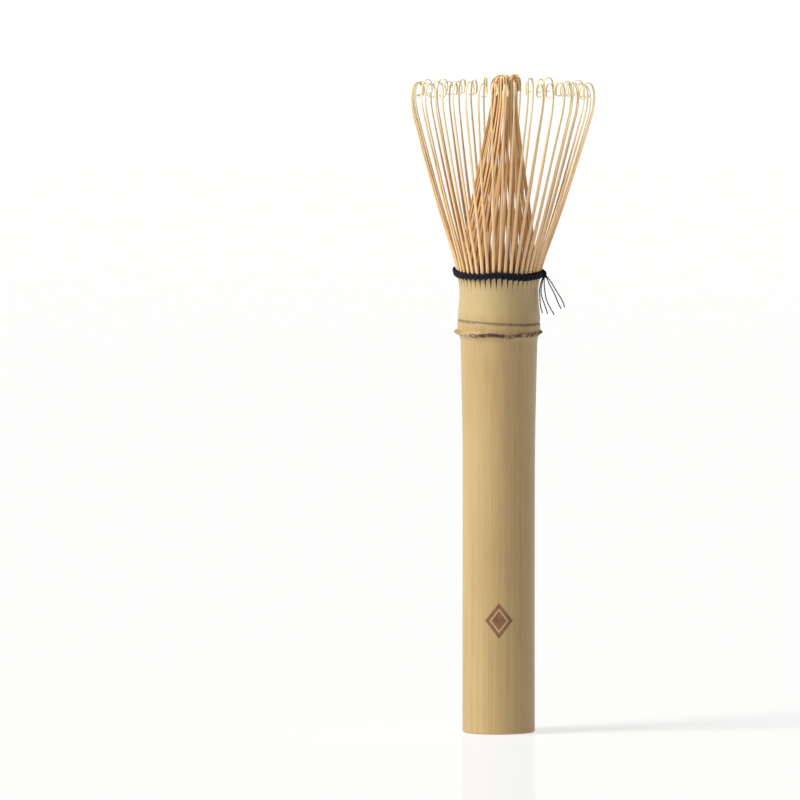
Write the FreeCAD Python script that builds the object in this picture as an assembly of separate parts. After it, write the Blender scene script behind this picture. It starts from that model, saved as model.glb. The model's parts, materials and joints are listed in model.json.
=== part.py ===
"""Long-handled bamboo tea whisk, built as its separate pieces, in millimetres.

The row frame has +Z up along the handle, and its origin on the handle's axis in the flat bottom
end. The front of the whisk faces -Y. One culm of bamboo is the handle: a hollow tube with one
node, closed there by a diaphragm, and split above it into outer and inner tines. The outer tines
flare out and end in a curl, the inner ones close into a cone. A cotton thread is woven round the
outer tines at their root and holds the two rows apart. It is also where the tines bend, so the
culm keeps their stubs and each tine above is a piece of its own.
"""

import FreeCAD, Part
import math
import os

Vector = FreeCAD.Vector
ORIGIN = Vector(0, 0, 0)
UP = Vector(0, 0, 1)
RADIAL = Vector(1, 0, 0)
TANGENT = Vector(0, 1, 0)

# Tines. Outer and inner ones alternate round the culm, so both rows have the same number.
TINE_COUNT = 45
PITCH_DEG = 360 / TINE_COUNT
FRONT_DEG = -90.0
INNER_GROUPS = 9
INNER_PER_GROUP = TINE_COUNT // INNER_GROUPS

# Handle
GRIP_R = 12.1
GRIP_TOP_Z = 95.0
BORE_R = 9.2
BORE_TOP_Z = 130.5
END_CHAMFER = 0.35
UPPER_CAVITY_R = 10.2
DIAPHRAGM_TOP_Z = 134.5
WALL_THINS_Z = 145.0

# Node of the culm: the sheath scar stands out as a ridge, with a fine groove above it
RIDGE_R = 14.4
RIDGE_Z = 133.6
GROOVE_Z = 137.2
GROOVE_DEPTH = 0.22
ABOVE_NODE_R = 13.75
COLLAR_R = 13.15

# Crown: the zone where the culm's wall parts into the two rows of tines
SLIT_Z = 148.4
STUB_TOP_Z = 152.5
ROOT_Z = 153.0
WALL_PARTS_R = 12.55
WALL_INNER_R = 11.9
OUTER_ROOT_R = 13.6
INNER_ROOT_R = 11.85
OUTER_ROOT_THICK = 0.74
INNER_ROOT_THICK = 0.42
OUTER_ROOT_WIDE = 1.05
INNER_ROOT_WIDE = 0.80

# Runs of a tine's centreline from its root to its tip: (length, turn in degrees, positive outwards,
# thickness at the run's end). Each run is one arc, and the tine leaves its root at LEAN degrees.
OUTER_LEAN = 13.0
OUTER_SHAFT = [
    (9.0, 6.2, 0.70),
    (20.0, -2.4, 0.58),
    (26.0, -1.3, 0.46),
    (6.4, -14.5, 0.38),
]
OUTER_CURL = [
    (3.8, -26.0, 0.34),
    (3.2, -128.0, 0.30),
    (2.9, -42.0, 0.27),
    (2.8, -130.0, 0.24),
]
INNER_LEAN = 1.0
INNER_RUNS = [
    (29.0, -12.5, 0.40),
    (24.4, -1.7, 0.36),
    (11.6, 24.2, 0.32),
    (2.7, -94.0, 0.26),
]
# Both rows lean a little towards +X as a whole, and the inner one more
OUTER_ROW_LEAN_DEG = 1.0
INNER_ROW_LEAN_DEG = 1.6
# Half-widths of a tine seen from the front, as (height, half-width)
OUTER_WIDTHS = [(ROOT_Z, OUTER_ROOT_WIDE / 2), (185.0, 0.42), (207.0, 0.31), (222.0, 0.26)]
INNER_WIDTHS = [
    (ROOT_Z, INNER_ROOT_WIDE / 2),
    (161.0, 0.48),
    (180.0, 0.40),
    (203.0, 0.20),
    (222.0, 0.13),
]
# How far one outer tine differs from the next, each as plus or minus
LEAN_SPREAD_DEG = 0.9
SIDEWAYS_SPREAD_DEG = 0.6
LENGTH_SPREAD = 0.012
CURL_SPREAD = 0.07
# The tines at the front and back are longer than those at the sides by ACROSS_LONGER. FRONT_LONGER
# is added to that at the front, and taken off it at the back.
ACROSS_LONGER = 0.0105
FRONT_LONGER = 0.0085

# Thread
THREAD_D = 0.9
BAND_LOW_Z = 151.4
BAND_HIGH_Z = 154.3
BAND_BULGE = 0.25
BAND_CLEARANCE = 0.2
GRIP_CLEARANCE = 0.08
INNER_BAND_R = (12.4, 12.9)
LINK_WIDE = 0.40
LINK_TUCK = 0.1
KNOT_DEG = -10.0
KNOT_R = 15.4
KNOT_Z = 152.6
KNOT_BALL_R = 1.0
TAIL_TUCK = 0.25
TAIL_D = 0.36
# Each loose thread end: (start direction in degrees below level, azimuth offset in degrees,
# runs of (length, turn in degrees, positive downwards))
TAILS = [
    (34.0, 6.0, [(5.0, 26.0), (8.6, -4.0)]),
    (40.0, -14.0, [(5.0, 22.0), (7.2, -8.0)]),
    (52.0, -34.0, [(4.4, 18.0), (7.2, -3.0)]),
    (58.0, 24.0, [(4.6, 22.0), (5.8, -14.0)]),
    (66.0, -52.0, [(4.4, 22.0), (5.2, -16.0)]),
]


def chance(number, salt):
    """A repeatable number from -1 to 1 for one tine."""
    wave = math.sin(12.9898 * number + 78.233 * salt) * 43758.5453
    return 2 * (wave - math.floor(wave)) - 1


def heading(degrees):
    """The direction in the radial plane that leans so many degrees out from vertical."""
    a = math.radians(degrees)
    return Vector(math.sin(a), 0, math.cos(a))


def walk(start, lean, runs):
    """The arcs of a path in the radial plane, as (first point, middle, last point, their headings)."""
    arcs = []
    point = start
    for length, turn in runs:
        chord = 2 * math.sin(math.radians(turn) / 2) / math.radians(turn) * length
        half_chord = 2 * math.sin(math.radians(turn) / 4) / math.radians(turn) * length
        middle = point + heading(lean + turn / 4) * half_chord
        end = point + heading(lean + turn / 2) * chord
        arcs.append(((point, middle, end), (lean, lean + turn / 2, lean + turn)))
        point = end
        lean += turn
    return arcs


def side_outline(start, lean, runs, thick):
    """The face of a tine seen from its side: an arc out of each run on either side of its centre.

    Its foot is round about start, which is where the tine bends."""
    out_side, in_side = [], []
    foot_thick = thick
    arcs = walk(start, lean, [(length, turn) for length, turn, _ in runs])
    for (points, leans), (_, _, end_thick) in zip(arcs, runs):
        thicknesses = (thick, (thick + end_thick) / 2, end_thick)
        for side, edges in ((1, out_side), (-1, in_side)):
            trio = []
            for point, angle, t in zip(points, leans, thicknesses):
                trio.append(point + heading(angle + 90) * (side * t / 2))
            edges.append(trio)
        thick = end_thick
    lowest = start - heading(lean) * (foot_thick / 2)
    root = Part.Arc(in_side[0][0], lowest, out_side[0][0]).toShape()
    tip = Part.makeLine(out_side[-1][2], in_side[-1][2])
    going_up = [Part.Arc(*trio).toShape() for trio in out_side]
    coming_down = [Part.Arc(*reversed(trio)).toShape() for trio in reversed(in_side)]
    return Part.Face(Part.Wire([root] + going_up + [tip] + coming_down))


def front_taper(widths, reach):
    """A prism along the radius that holds a tine to its half-widths at each height."""
    right = [Vector(0, half, z) for z, half in widths]
    left = [Vector(0, -half, z) for z, half in reversed(widths)]
    below = widths[0][1]
    low_z = widths[0][0] - 1
    corners = [Vector(0, below, low_z)] + right + left + [Vector(0, -below, low_z)]
    corners.append(corners[0])
    return Part.Face(Part.makePolygon(corners)).extrude(RADIAL * reach)


def tine(start, lean, runs, root_thick, widths):
    """One tine as a solid in the XZ plane, its root at start."""
    widest = max(half for _, half in widths) + 0.1
    face = side_outline(start, lean, runs, root_thick)
    face.translate(TANGENT * -widest)
    slab = face.extrude(TANGENT * (2 * widest))
    return slab.common(front_taper(widths, 2 * RIDGE_R + 10)).Solids[0]


def turned(shape, degrees):
    """shape turned about the handle's axis."""
    copy = shape.copy()
    copy.rotate(ORIGIN, UP, degrees)
    return copy


def outer_azimuth(number):
    """Outer tine 0 faces the front, and the others follow anticlockwise seen from above."""
    return FRONT_DEG + number * PITCH_DEG


def row_lean(azimuth, degrees):
    """How a row's lean towards +X divides at one azimuth into outward and sideways degrees."""
    a = math.radians(azimuth)
    return degrees * math.cos(a), degrees * math.sin(a)


def outer_tine(number):
    """An outer tine, which differs a little from the others in lean, length and curl."""
    azimuth = outer_azimuth(number)
    outward, sideways = row_lean(azimuth, OUTER_ROW_LEAN_DEG)
    backward = math.sin(math.radians(azimuth))
    longer = 1 + LENGTH_SPREAD * chance(number, 1) + ACROSS_LONGER * backward**2 - FRONT_LONGER * backward
    looser = 1 + CURL_SPREAD * chance(number, 2)
    lean = OUTER_LEAN + outward + LEAN_SPREAD_DEG * chance(number, 3)
    shaft = [(length * longer, turn, thick) for length, turn, thick in OUTER_SHAFT]
    curl = [(length * looser, turn, thick) for length, turn, thick in OUTER_CURL]
    root = Vector(OUTER_ROOT_R, 0, ROOT_Z)
    solid = tine(root, lean, shaft + curl, OUTER_ROOT_THICK, OUTER_WIDTHS)
    solid.rotate(root, RADIAL, sideways + SIDEWAYS_SPREAD_DEG * chance(number, 4))
    return turned(solid, azimuth)


def inner_tine(azimuth):
    """An inner tine. All of them curve alike."""
    outward, sideways = row_lean(azimuth, INNER_ROW_LEAN_DEG)
    root = Vector(INNER_ROOT_R, 0, ROOT_Z)
    solid = tine(root, INNER_LEAN + outward, INNER_RUNS, INNER_ROOT_THICK, INNER_WIDTHS)
    solid.rotate(root, RADIAL, sideways)
    return turned(solid, azimuth)


def inner_group(number):
    """The inner tines of one group as separate solids, in the gaps between outer tines."""
    first = number * INNER_PER_GROUP
    numbers = range(first, first + INNER_PER_GROUP)
    return Part.makeCompound([inner_tine(outer_azimuth(k + 0.5)) for k in numbers])


def profile_edges(points):
    """Straight edges through (radius, height) points."""
    corners = [Vector(r, 0, z) for r, z in points]
    return [Part.makeLine(a, b) for a, b in zip(corners, corners[1:])]


def smooth_edge(points):
    """One smooth curve through (radius, height) points."""
    curve = Part.BSplineCurve()
    curve.interpolate([Vector(r, 0, z) for r, z in points])
    return curve.toShape()


def culm_body():
    """The handle up to the slits: grip, ridge, groove, collar, diaphragm and both cavities."""
    grip = profile_edges(
        [
            (BORE_R, 0),
            (GRIP_R - END_CHAMFER, 0),
            (GRIP_R, END_CHAMFER),
            (GRIP_R, GRIP_TOP_Z),
        ]
    )
    flare = smooth_edge(
        [
            (GRIP_R, GRIP_TOP_Z),
            (GRIP_R + 0.16, GRIP_TOP_Z + 12),
            (GRIP_R + 0.55, GRIP_TOP_Z + 28),
            (GRIP_R + 0.85, RIDGE_Z - 2.4),
        ]
    )
    ridge = smooth_edge(
        [
            (GRIP_R + 0.85, RIDGE_Z - 2.4),
            (RIDGE_R - 0.45, RIDGE_Z - 0.9),
            (RIDGE_R, RIDGE_Z),
            (RIDGE_R - 0.35, RIDGE_Z + 0.9),
            (ABOVE_NODE_R, GROOVE_Z - 0.4),
        ]
    )
    groove = profile_edges(
        [
            (ABOVE_NODE_R, GROOVE_Z - 0.4),
            (ABOVE_NODE_R - GROOVE_DEPTH, GROOVE_Z),
            (ABOVE_NODE_R, GROOVE_Z + 0.4),
        ]
    )
    collar = smooth_edge(
        [
            (ABOVE_NODE_R, GROOVE_Z + 0.4),
            (ABOVE_NODE_R - 0.25, GROOVE_Z + 4.5),
            (COLLAR_R + 0.02, SLIT_Z - 4.5),
            (COLLAR_R, SLIT_Z),
        ]
    )
    inside = profile_edges(
        [
            (COLLAR_R, SLIT_Z),
            (WALL_INNER_R, SLIT_Z),
            (WALL_INNER_R, SLIT_Z - 1.0),
            (UPPER_CAVITY_R, WALL_THINS_Z),
            (UPPER_CAVITY_R, DIAPHRAGM_TOP_Z),
            (0, DIAPHRAGM_TOP_Z),
            (0, BORE_TOP_Z),
            (BORE_R, BORE_TOP_Z),
            (BORE_R, 0),
        ]
    )
    edges = grip + [flare, ridge] + groove + [collar] + inside
    return Part.Face(Part.Wire(edges)).revolve(ORIGIN, UP, 360)


def wedge(low_z, half_wide, low_r, high_r):
    """A V notch seen from the front, open at the stubs' tops, that cuts from low_r to high_r."""
    top = STUB_TOP_Z + 0.5
    corners = [Vector(low_r, 0, low_z), Vector(low_r, half_wide, top), Vector(low_r, -half_wide, top)]
    corners.append(corners[0])
    return Part.Face(Part.makePolygon(corners)).extrude(RADIAL * (high_r - low_r))


def faces_at(z, root_r, lean, thick):
    """The inner and outer radius of a tine's straight root, carried on down to the height z."""
    middle = root_r + (z - ROOT_Z) * math.tan(math.radians(lean))
    half = thick / 2 / math.cos(math.radians(lean))
    return middle - half, middle + half


def lip(low_radii, high_radii, low_z):
    """A ring whose wall runs from one pair of radii at low_z to another at the stubs' tops."""
    (a, b), (c, d) = low_radii, high_radii
    corners = [(a, low_z), (b, low_z), (d, STUB_TOP_Z), (c, STUB_TOP_Z), (a, low_z)]
    return Part.Face(Part.Wire(profile_edges(corners))).revolve(ORIGIN, UP, 360)


def crown():
    """The stubs of both rows of tines, parted by V notches, on top of the culm's wall."""
    outer_low = (WALL_PARTS_R, COLLAR_R)
    outer_high = faces_at(STUB_TOP_Z, OUTER_ROOT_R, OUTER_LEAN, OUTER_ROOT_THICK)
    inner_low = (WALL_INNER_R, WALL_PARTS_R)
    inner_high = faces_at(STUB_TOP_Z, INNER_ROOT_R, INNER_LEAN, INNER_ROOT_THICK)
    outer_gap = 2 * math.pi * OUTER_ROOT_R / TINE_COUNT - OUTER_ROOT_WIDE
    inner_gap = 2 * math.pi * INNER_ROOT_R / TINE_COUNT - INNER_ROOT_WIDE
    outer_notch = wedge(SLIT_Z + 0.1, outer_gap / 2, WALL_PARTS_R + 0.01, 2 * RIDGE_R)
    inner_notch = wedge(SLIT_Z + 0.4, inner_gap / 2, UPPER_CAVITY_R, WALL_PARTS_R - 0.01)
    outer_notches, inner_notches = [], []
    for k in range(TINE_COUNT):
        outer_notches.append(turned(outer_notch, outer_azimuth(k + 0.5)))
        inner_notches.append(turned(inner_notch, outer_azimuth(k)))
    outer_row = lip(outer_low, outer_high, SLIT_Z).cut(outer_notches)
    inner_row = lip(inner_low, inner_high, SLIT_Z).cut(inner_notches)
    return [outer_row, inner_row]


def culm():
    """The bamboo culm in one piece: handle and stubs."""
    return culm_body().fuse(crown()).removeSplitter()


def binding_thread():
    """The woven thread as a plain ring outside the outer tines, a thinner one between the two rows,
    a link through each gap, and the knot. It grips the stubs and stands clear of the tines."""

    def outer_face(z, clearance=0.0):
        return faces_at(z, OUTER_ROOT_R, OUTER_LEAN, OUTER_ROOT_THICK)[1] + clearance, z

    mid_z = (BAND_LOW_Z + BAND_HIGH_Z) / 2
    bulge_r = outer_face(mid_z)[0] + THREAD_D + BAND_BULGE
    inside = profile_edges(
        [
            outer_face(BAND_HIGH_Z, BAND_CLEARANCE),
            outer_face(STUB_TOP_Z, BAND_CLEARANCE),
            outer_face(STUB_TOP_Z, GRIP_CLEARANCE),
            outer_face(BAND_LOW_Z, GRIP_CLEARANCE),
        ]
    )
    low, high = outer_face(BAND_LOW_Z, GRIP_CLEARANCE), outer_face(BAND_HIGH_Z, BAND_CLEARANCE)
    outside = Part.Arc(Vector(low[0], 0, low[1]), Vector(bulge_r, 0, mid_z), Vector(high[0], 0, high[1]))
    outer_ring = Part.Face(Part.Wire(inside + [outside.toShape()])).revolve(ORIGIN, UP, 360)
    ring_low, ring_high = mid_z - THREAD_D, mid_z + THREAD_D
    a, b = INNER_BAND_R
    corners = [(a, ring_low), (b, ring_low), (b, ring_high), (a, ring_high), (a, ring_low)]
    inner_ring = Part.Face(Part.Wire(profile_edges(corners))).revolve(ORIGIN, UP, 360)
    link_from, link_to = a + LINK_TUCK, outer_face(mid_z)[0] + THREAD_D / 2
    corner = Vector(link_from, -LINK_WIDE / 2, mid_z - THREAD_D / 2)
    link = Part.makeBox(link_to - link_from, LINK_WIDE, THREAD_D, corner)
    links = [turned(link, outer_azimuth(k + 0.5)) for k in range(TINE_COUNT)]
    knot = turned(Part.makeSphere(KNOT_BALL_R, Vector(KNOT_R, 0, KNOT_Z)), KNOT_DEG)
    return outer_ring.fuse([inner_ring, knot] + links).removeSplitter()


def tails():
    """The loose ends of the thread, each a round strand of two arcs that starts inside the knot."""
    knot_centre = Vector(KNOT_R, 0, KNOT_Z)
    strands = []
    for below_level, azimuth, runs in TAILS:
        lean = 90 + below_level
        start = knot_centre + heading(lean) * (KNOT_BALL_R - TAIL_TUCK)
        arcs = walk(start, lean, runs)
        path = Part.Wire([Part.Arc(*points).toShape() for points, _ in arcs])
        ring = Part.Wire(Part.Circle(start, heading(lean), TAIL_D / 2).toShape())
        strand = path.makePipeShell([ring], True, False)
        strand.rotate(knot_centre, UP, azimuth)
        strands.append(turned(strand, KNOT_DEG))
    return Part.makeCompound(strands)


def export(node, shape):
    """Writes one node, after a look at each of its solids."""
    assert shape.Solids and all(s.isValid() and s.Volume > 0 for s in shape.Solids), node
    shape.exportStep(os.path.join("parts", node + ".step"))


def main():
    os.makedirs("parts", exist_ok=True)
    export("culm_handle", culm())
    export("binding_thread", binding_thread())
    export("thread_tails", tails())
    for number in range(TINE_COUNT):
        export(f"outer_tine_{number + 1:02d}", outer_tine(number))
    for number in range(INNER_GROUPS):
        export(f"inner_tines_{number + 1}", inner_group(number))


main()
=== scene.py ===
"""The looks of a long-handled bamboo tea whisk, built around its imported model.

Lengths are in millimetres and angles in degrees, and make_piece turns them into metres. The floor,
the wall and the camera are in metres. The whisk stands on the floor with +Z up along the handle, and
its front faces -Y.
"""

import bpy
import math
from mathutils import Matrix, Vector, noise
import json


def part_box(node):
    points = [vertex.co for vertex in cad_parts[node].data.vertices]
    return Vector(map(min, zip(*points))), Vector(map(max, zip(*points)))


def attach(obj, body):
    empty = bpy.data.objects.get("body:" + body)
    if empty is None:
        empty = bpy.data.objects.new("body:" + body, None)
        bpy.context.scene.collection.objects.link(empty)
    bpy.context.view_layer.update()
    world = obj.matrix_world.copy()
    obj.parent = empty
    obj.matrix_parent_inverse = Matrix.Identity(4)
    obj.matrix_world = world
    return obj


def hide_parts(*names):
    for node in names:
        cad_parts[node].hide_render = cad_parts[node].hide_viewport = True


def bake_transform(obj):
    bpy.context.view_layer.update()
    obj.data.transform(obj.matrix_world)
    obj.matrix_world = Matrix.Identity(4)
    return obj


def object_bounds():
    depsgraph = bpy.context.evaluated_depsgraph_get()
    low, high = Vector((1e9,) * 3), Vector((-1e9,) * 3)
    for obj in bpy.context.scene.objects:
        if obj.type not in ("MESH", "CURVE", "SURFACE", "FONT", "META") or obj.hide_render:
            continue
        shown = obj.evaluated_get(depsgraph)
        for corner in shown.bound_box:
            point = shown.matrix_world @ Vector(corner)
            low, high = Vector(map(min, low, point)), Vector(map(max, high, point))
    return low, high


MM = 0.001
UP = Vector((0, 0, 1))
# A tine is drawn in the XZ plane before it is turned into place, so this is its direction sideways
SIDEWAYS = Vector((0, 1, 0))

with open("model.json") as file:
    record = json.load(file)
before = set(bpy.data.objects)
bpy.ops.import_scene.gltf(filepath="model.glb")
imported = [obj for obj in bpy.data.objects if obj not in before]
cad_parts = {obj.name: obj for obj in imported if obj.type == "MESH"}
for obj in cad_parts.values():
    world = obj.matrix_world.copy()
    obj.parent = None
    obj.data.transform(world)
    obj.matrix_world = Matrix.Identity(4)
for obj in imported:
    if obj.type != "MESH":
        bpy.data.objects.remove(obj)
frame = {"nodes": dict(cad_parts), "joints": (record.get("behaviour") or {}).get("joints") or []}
cad_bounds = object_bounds()
whisk_high = (cad_bounds[1][2] - cad_bounds[0][2]) / MM

# The tines' hinges say where the outer tines stand and how many there are
HINGES = [joint["pos_m"] for joint in frame["joints"]]
TINE_COUNT = len(HINGES)
PITCH = 360 / TINE_COUNT
FRONT = math.degrees(math.atan2(HINGES[0][1], HINGES[0][0]))
ROOT_R = math.hypot(HINGES[0][0], HINGES[0][1]) / MM
ROOT_Z = HINGES[0][2] / MM
INNER_NODES = sorted(name for name in frame["nodes"] if name.startswith("inner_tines_"))
INNER_PER_NODE = TINE_COUNT // len(INNER_NODES)

# Culm
STUB_TOP_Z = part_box("culm_handle")[1].z / MM
RIM_R = 12.1
BORE_R = 9.2
BORE_TOP_Z = 130.5
DIAPHRAGM_TOP_Z = 134.5
CAVITY_R = 10.2
CAVITY_TOP_Z = 145.0
WALL_INNER_R = 11.9
WALL_PARTS_R = 12.55
END_CHAMFER = 0.35
BORE_EDGE = 0.25
COLUMNS_PER_TINE = 10
SLIT_Z = 148.4
SLIT_RISE = 0.5
SLIT_STEPS = 7
SLIT_FLARE = 0.72
RIDGE_Z = 133.45
GROOVE_Z = 137.2
GROOVE_DEPTH = 0.24
GROOVE_HALF = 0.36
RIDGE_HALF = 0.62
SKIN_WAVE = 0.07
CRACK_STAIN = 0.5
CRACK_LONG = 1.2
CRACK_LONG_SPREAD = 2.4
# How fast the groove, the ridge and the front of the node run out of level
GROOVE_TILT = 0.036
RIDGE_TILT = 0.008
FRONT_DROP = 0.033
# The dormant bud on the ridge: its azimuth from the front, its half width in degrees, and its half height
BUD_AZIMUTH = -38
BUD_HALF_WIDE = 4.6
BUD_HALF_HIGH = 0.50
BUD_STANDS_OUT = 0.30
# A stretch of the ridge has no stain: its azimuth from the front
CLEAN_AZIMUTH = -62
SKIN_PROFILE = [
    (0.0, 12.1), (60.0, 12.05), (95.0, 12.1), (107.0, 12.28), (119.0, 12.52), (127.0, 12.72),
    (131.0, 12.85), (132.2, 13.15), (133.3, 13.65), (134.3, 13.75), (135.6, 13.8), (137.0, 13.78),
    (139.0, 13.7), (142.0, 13.45), (145.0, 13.2), (148.4, 13.15),
]
# The skin's rows of points, as (lowest, step, how many): they are close together at the node
SKIN_ROWS = [
    (END_CHAMFER, (126.0 - END_CHAMFER) / 42, 42),
    (126.0, 0.5, 9),
    (130.5, 0.11, 78),
    (139.1, 0.71, 13),
]
BORE_PROFILE = [
    (BORE_R + BORE_EDGE, 0),
    (BORE_R, BORE_EDGE),
    (BORE_R, 40),
    (BORE_R, 85),
    (BORE_R, BORE_TOP_Z - 2),
    (BORE_R - 0.6, BORE_TOP_Z - 0.6),
    (BORE_R - 2.2, BORE_TOP_Z),
]
CAVITY_PROFILE = [
    (WALL_INNER_R, SLIT_Z),
    (WALL_INNER_R, SLIT_Z - 1),
    (CAVITY_R, CAVITY_TOP_Z),
    (CAVITY_R, DIAPHRAGM_TOP_Z + 1.5),
    (CAVITY_R - 2.0, DIAPHRAGM_TOP_Z),
]

# Outer tines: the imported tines' runs of arcs, as (length, turn, thickness at the run's end)
OUTER_LEAN = 13.0
OUTER_SHAFT = [
    (9.0, 6.2, 0.70),
    (20.0, -2.4, 0.56),
    (26.0, -1.3, 0.38),
    (6.4, -14.5, 0.30),
]
OUTER_CURL = [
    (3.8, -26.0, 0.26),
    (3.2, -128.0, 0.23),
    (2.9, -42.0, 0.21),
    (2.8, -130.0, 0.17),
]
OUTER_ROOT_WIDE = 1.05
OUTER_ROOT_THICK = 0.74
# Half the width at each share of a tine's length
OUTER_HALVES = [
    (0, OUTER_ROOT_WIDE / 2), (0.25, 0.46), (0.5, 0.38), (0.7, 0.30), (0.82, 0.29), (0.92, 0.38), (1, 0.24),
]
# A tine's section: how much its corners are eased, and how far its outer face is crowned
CORNER_OF_WIDTH = 0.28
CORNER_OF_THICKNESS = 0.35
CROWN = 1.12
FOOT_SINK = 0.15
# A tine has a station about this often, in length and in degrees of its bend
STATION_STEP = 1.6
TURN_STEP = 9
LEAN_SPREAD = 0.9
SWAY_SPREAD = 0.6
ROW_LEAN = 1.0
LENGTH_SPREAD = 0.012
FRONT_LONGER = 0.0085
ACROSS_LONGER = 0.0105
CURL_SPREAD = 0.07
# How far a curl turns sideways: it swings from one side to the other round the whisk
CURL_SWING = 24
CURL_SWING_SPREAD = 9
# In radians round the whisk
CURL_SWING_PHASE = 0.6
# The sideways turn sets in this far before the curl, and is complete this far before the tip
SWING_BEFORE_CURL = 6
SWING_BEFORE_TIP = 2
BOW_SPREAD = 0.35

# Inner tines
INNER_ROOT_R = 11.85
INNER_ROOT_WIDE = 0.80
INNER_ROOT_THICK = 0.42
INNER_TIP_THICK = 0.20
INNER_HALVES = [(0, INNER_ROOT_WIDE / 2), (0.12, 0.50), (0.3, 0.46), (0.6, 0.37), (0.85, 0.31), (1, 0.24)]
INNER_LEAN = 1.0
INNER_RADII = [
    (152.0, 11.82), (160.0, 11.65), (169.0, 10.75), (180.0, 8.8), (190.0, 6.95), (200.0, 5.3),
    (208.0, 4.1), (214.0, 3.8),
]
# How far the cone's middle has moved to the right and to the front at this height
INNER_SHIFT_Z = 218.0
INNER_SHIFT_RIGHT = 2.1
INNER_SHIFT_FRONT = 0.3
INNER_TWIST = 24.0
INNER_TOP_Z = 213.4
INNER_TOP_SPREAD = 1.2
INNER_LAYER = 0.25
INNER_LAYER_SPREAD = 0.30
INNER_STRAY = 6.0
INNER_STEP = 2.2
# The tips gather over three spots: how far right and back of the cone's middle each is, and how high
WHORL_FRONT = Vector((-0.8, -2.4, 214.0))
WHORL_MIDDLE = Vector((1.5, -1.4, 214.2))
WHORL_RIGHT = Vector((4.4, -1.2, 213.8))
# A tip gathers at the right or in the middle if it starts this far to the right or to the back
WHORL_RIGHT_BEYOND = 1.3
WHORL_MIDDLE_BEYOND = 1.2
WHORL_SPREAD = 0.9
WHORL_TOP_Z = 219.0
WHORL_TOP_SPREAD = 1.1
HOOK_LEAST = 1.8
HOOK_STEPS = 14

# Thread
BAND_Z = 152.68
# How much higher the band is woven at each turn from the front, positive to the right
BAND_RISE = [
    (-180, 1.6), (-97, 1.2), (-77, 0.5), (-58, 0.1), (-28, -0.2), (-5, 0.34), (15, -0.1), (38, -0.48),
    (62, -0.08), (90, 0.35), (135, 1.3), (180, 1.6),
]
ROW_OFFSET = 0.45
ROW_SWING = 0.34
STRAND_R = 0.63
STRAND_CLEARANCE = 0.05
# How far behind a tine the middle of a strand passes, in strand radii
STRAND_BEHIND = 0.8
STEPS_PER_TINE = 14
WEAVE_SQUARE = 2.0
PLY_COUNT = 2
PLY_OF_STRAND = 0.56
PLY_SIDES = 7
PLY_TURN = 1.4
KNOT_AZIMUTH = -9.0
KNOT_STAND_OFF = 1.35
KNOT_LOOPS = 3
KNOT_STEPS = 28
KNOT_TURN = 15
KNOT_DEEP = 0.35
KNOT_HALF_WIDE = 0.62
KNOT_HALF_HIGH = 0.85
KNOT_STRAND_R = 0.42
KNOT_PLY_TURN = 1.3
TAIL_STEPS = 40
TAIL_STRAND_R = 0.24
TAIL_PLY_TURN = 1.1
TAIL_WIGGLE = 0.20
# The loose ends, each from the knot: (out, sideways and up to its end, how far it bows outwards)
TAIL_ENDS = [
    (7.0, -0.6, -10.9, 0.2),
    (5.6, 0.9, -11.4, -0.3),
    (3.3, -1.5, -13.4, -1.3),
    (1.1, 0.5, -13.2, -1.5),
    (-0.2, -2.2, -12.8, -1.3),
]

# Stage, in metres
FLOOR_WIDE = 30
FLOOR_GAP = 0.0002
WALL_R = 6.8
WALL_HIGH = 1.1

# Camera, in whisk heights: where it is, what height it looks at, and how wide its view is there
CAMERA_AWAY = 20.0
CAMERA_EYE = 1.68
CAMERA_ASIDE = -0.150
CAMERA_TARGET = 0.505
VIEW_WIDE = 1.214
# As Blender takes it, in millimetres
SENSOR_WIDE = 36


def chance(number, salt):
    """A repeatable number from -1 to 1."""
    wave = math.sin(12.9898 * number + 78.233 * salt) * 43758.5453
    return 2 * (wave - math.floor(wave)) - 1


def ease(value, low, high):
    """0 below low, 1 above high, and a smooth step between."""
    t = min(max((value - low) / (high - low), 0), 1)
    return t * t * (3 - 2 * t)


def bell(x, middle, half, power=2):
    """1 at the middle and nothing a few halves away. A higher power makes it squarer."""
    return math.exp(-(((x - middle) / half) ** power))


def through(points, x):
    """A smooth curve through (x, y) points, level with its neighbours' slope at each."""
    if x <= points[0][0]:
        return points[0][1]
    if x >= points[-1][0]:
        return points[-1][1]
    k = max(i for i in range(len(points) - 1) if points[i][0] <= x)

    def slope(i):
        a, b = points[max(i - 1, 0)], points[min(i + 1, len(points) - 1)]
        return (b[1] - a[1]) / (b[0] - a[0])

    (x0, y0), (x1, y1) = points[k], points[k + 1]
    span = x1 - x0
    t = (x - x0) / span
    rise = (1 + 2 * t) * (1 - t) ** 2 * y0 + t * t * (3 - 2 * t) * y1
    return rise + span * (t * (1 - t) ** 2 * slope(k) - t * t * (1 - t) * slope(k + 1))


def polar(radius, azimuth, z):
    """The point at a radius, azimuth and height."""
    a = math.radians(azimuth)
    return Vector((radius * math.cos(a), radius * math.sin(a), z))


def outer_azimuth(number):
    """Outer tine 0 faces the front, and the others follow anticlockwise seen from above."""
    return FRONT + number * PITCH


def make_piece(name, points, faces, tones=None, sharp=40, second=()):
    """A smooth mesh from points in millimetres. tones maps an attribute's name to a value per point,
    and second lists the faces that take the piece's second material."""
    mesh = bpy.data.meshes.new(name)
    mesh.from_pydata([tuple(p * MM) for p in points], [], faces)
    mesh.polygons.foreach_set("use_smooth", [True] * len(mesh.polygons))
    mesh.set_sharp_from_angle(angle=math.radians(sharp))
    for index in second:
        mesh.polygons[index].material_index = 1
    for key, values in (tones or {}).items():
        layer = mesh.attributes.new(key, "FLOAT", "POINT")
        layer.data.foreach_set("value", values)
    mesh.validate()
    piece = bpy.data.objects.new(name, mesh)
    bpy.context.scene.collection.objects.link(piece)
    return piece


# ---------------------------------------------------------------- shader building


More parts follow.
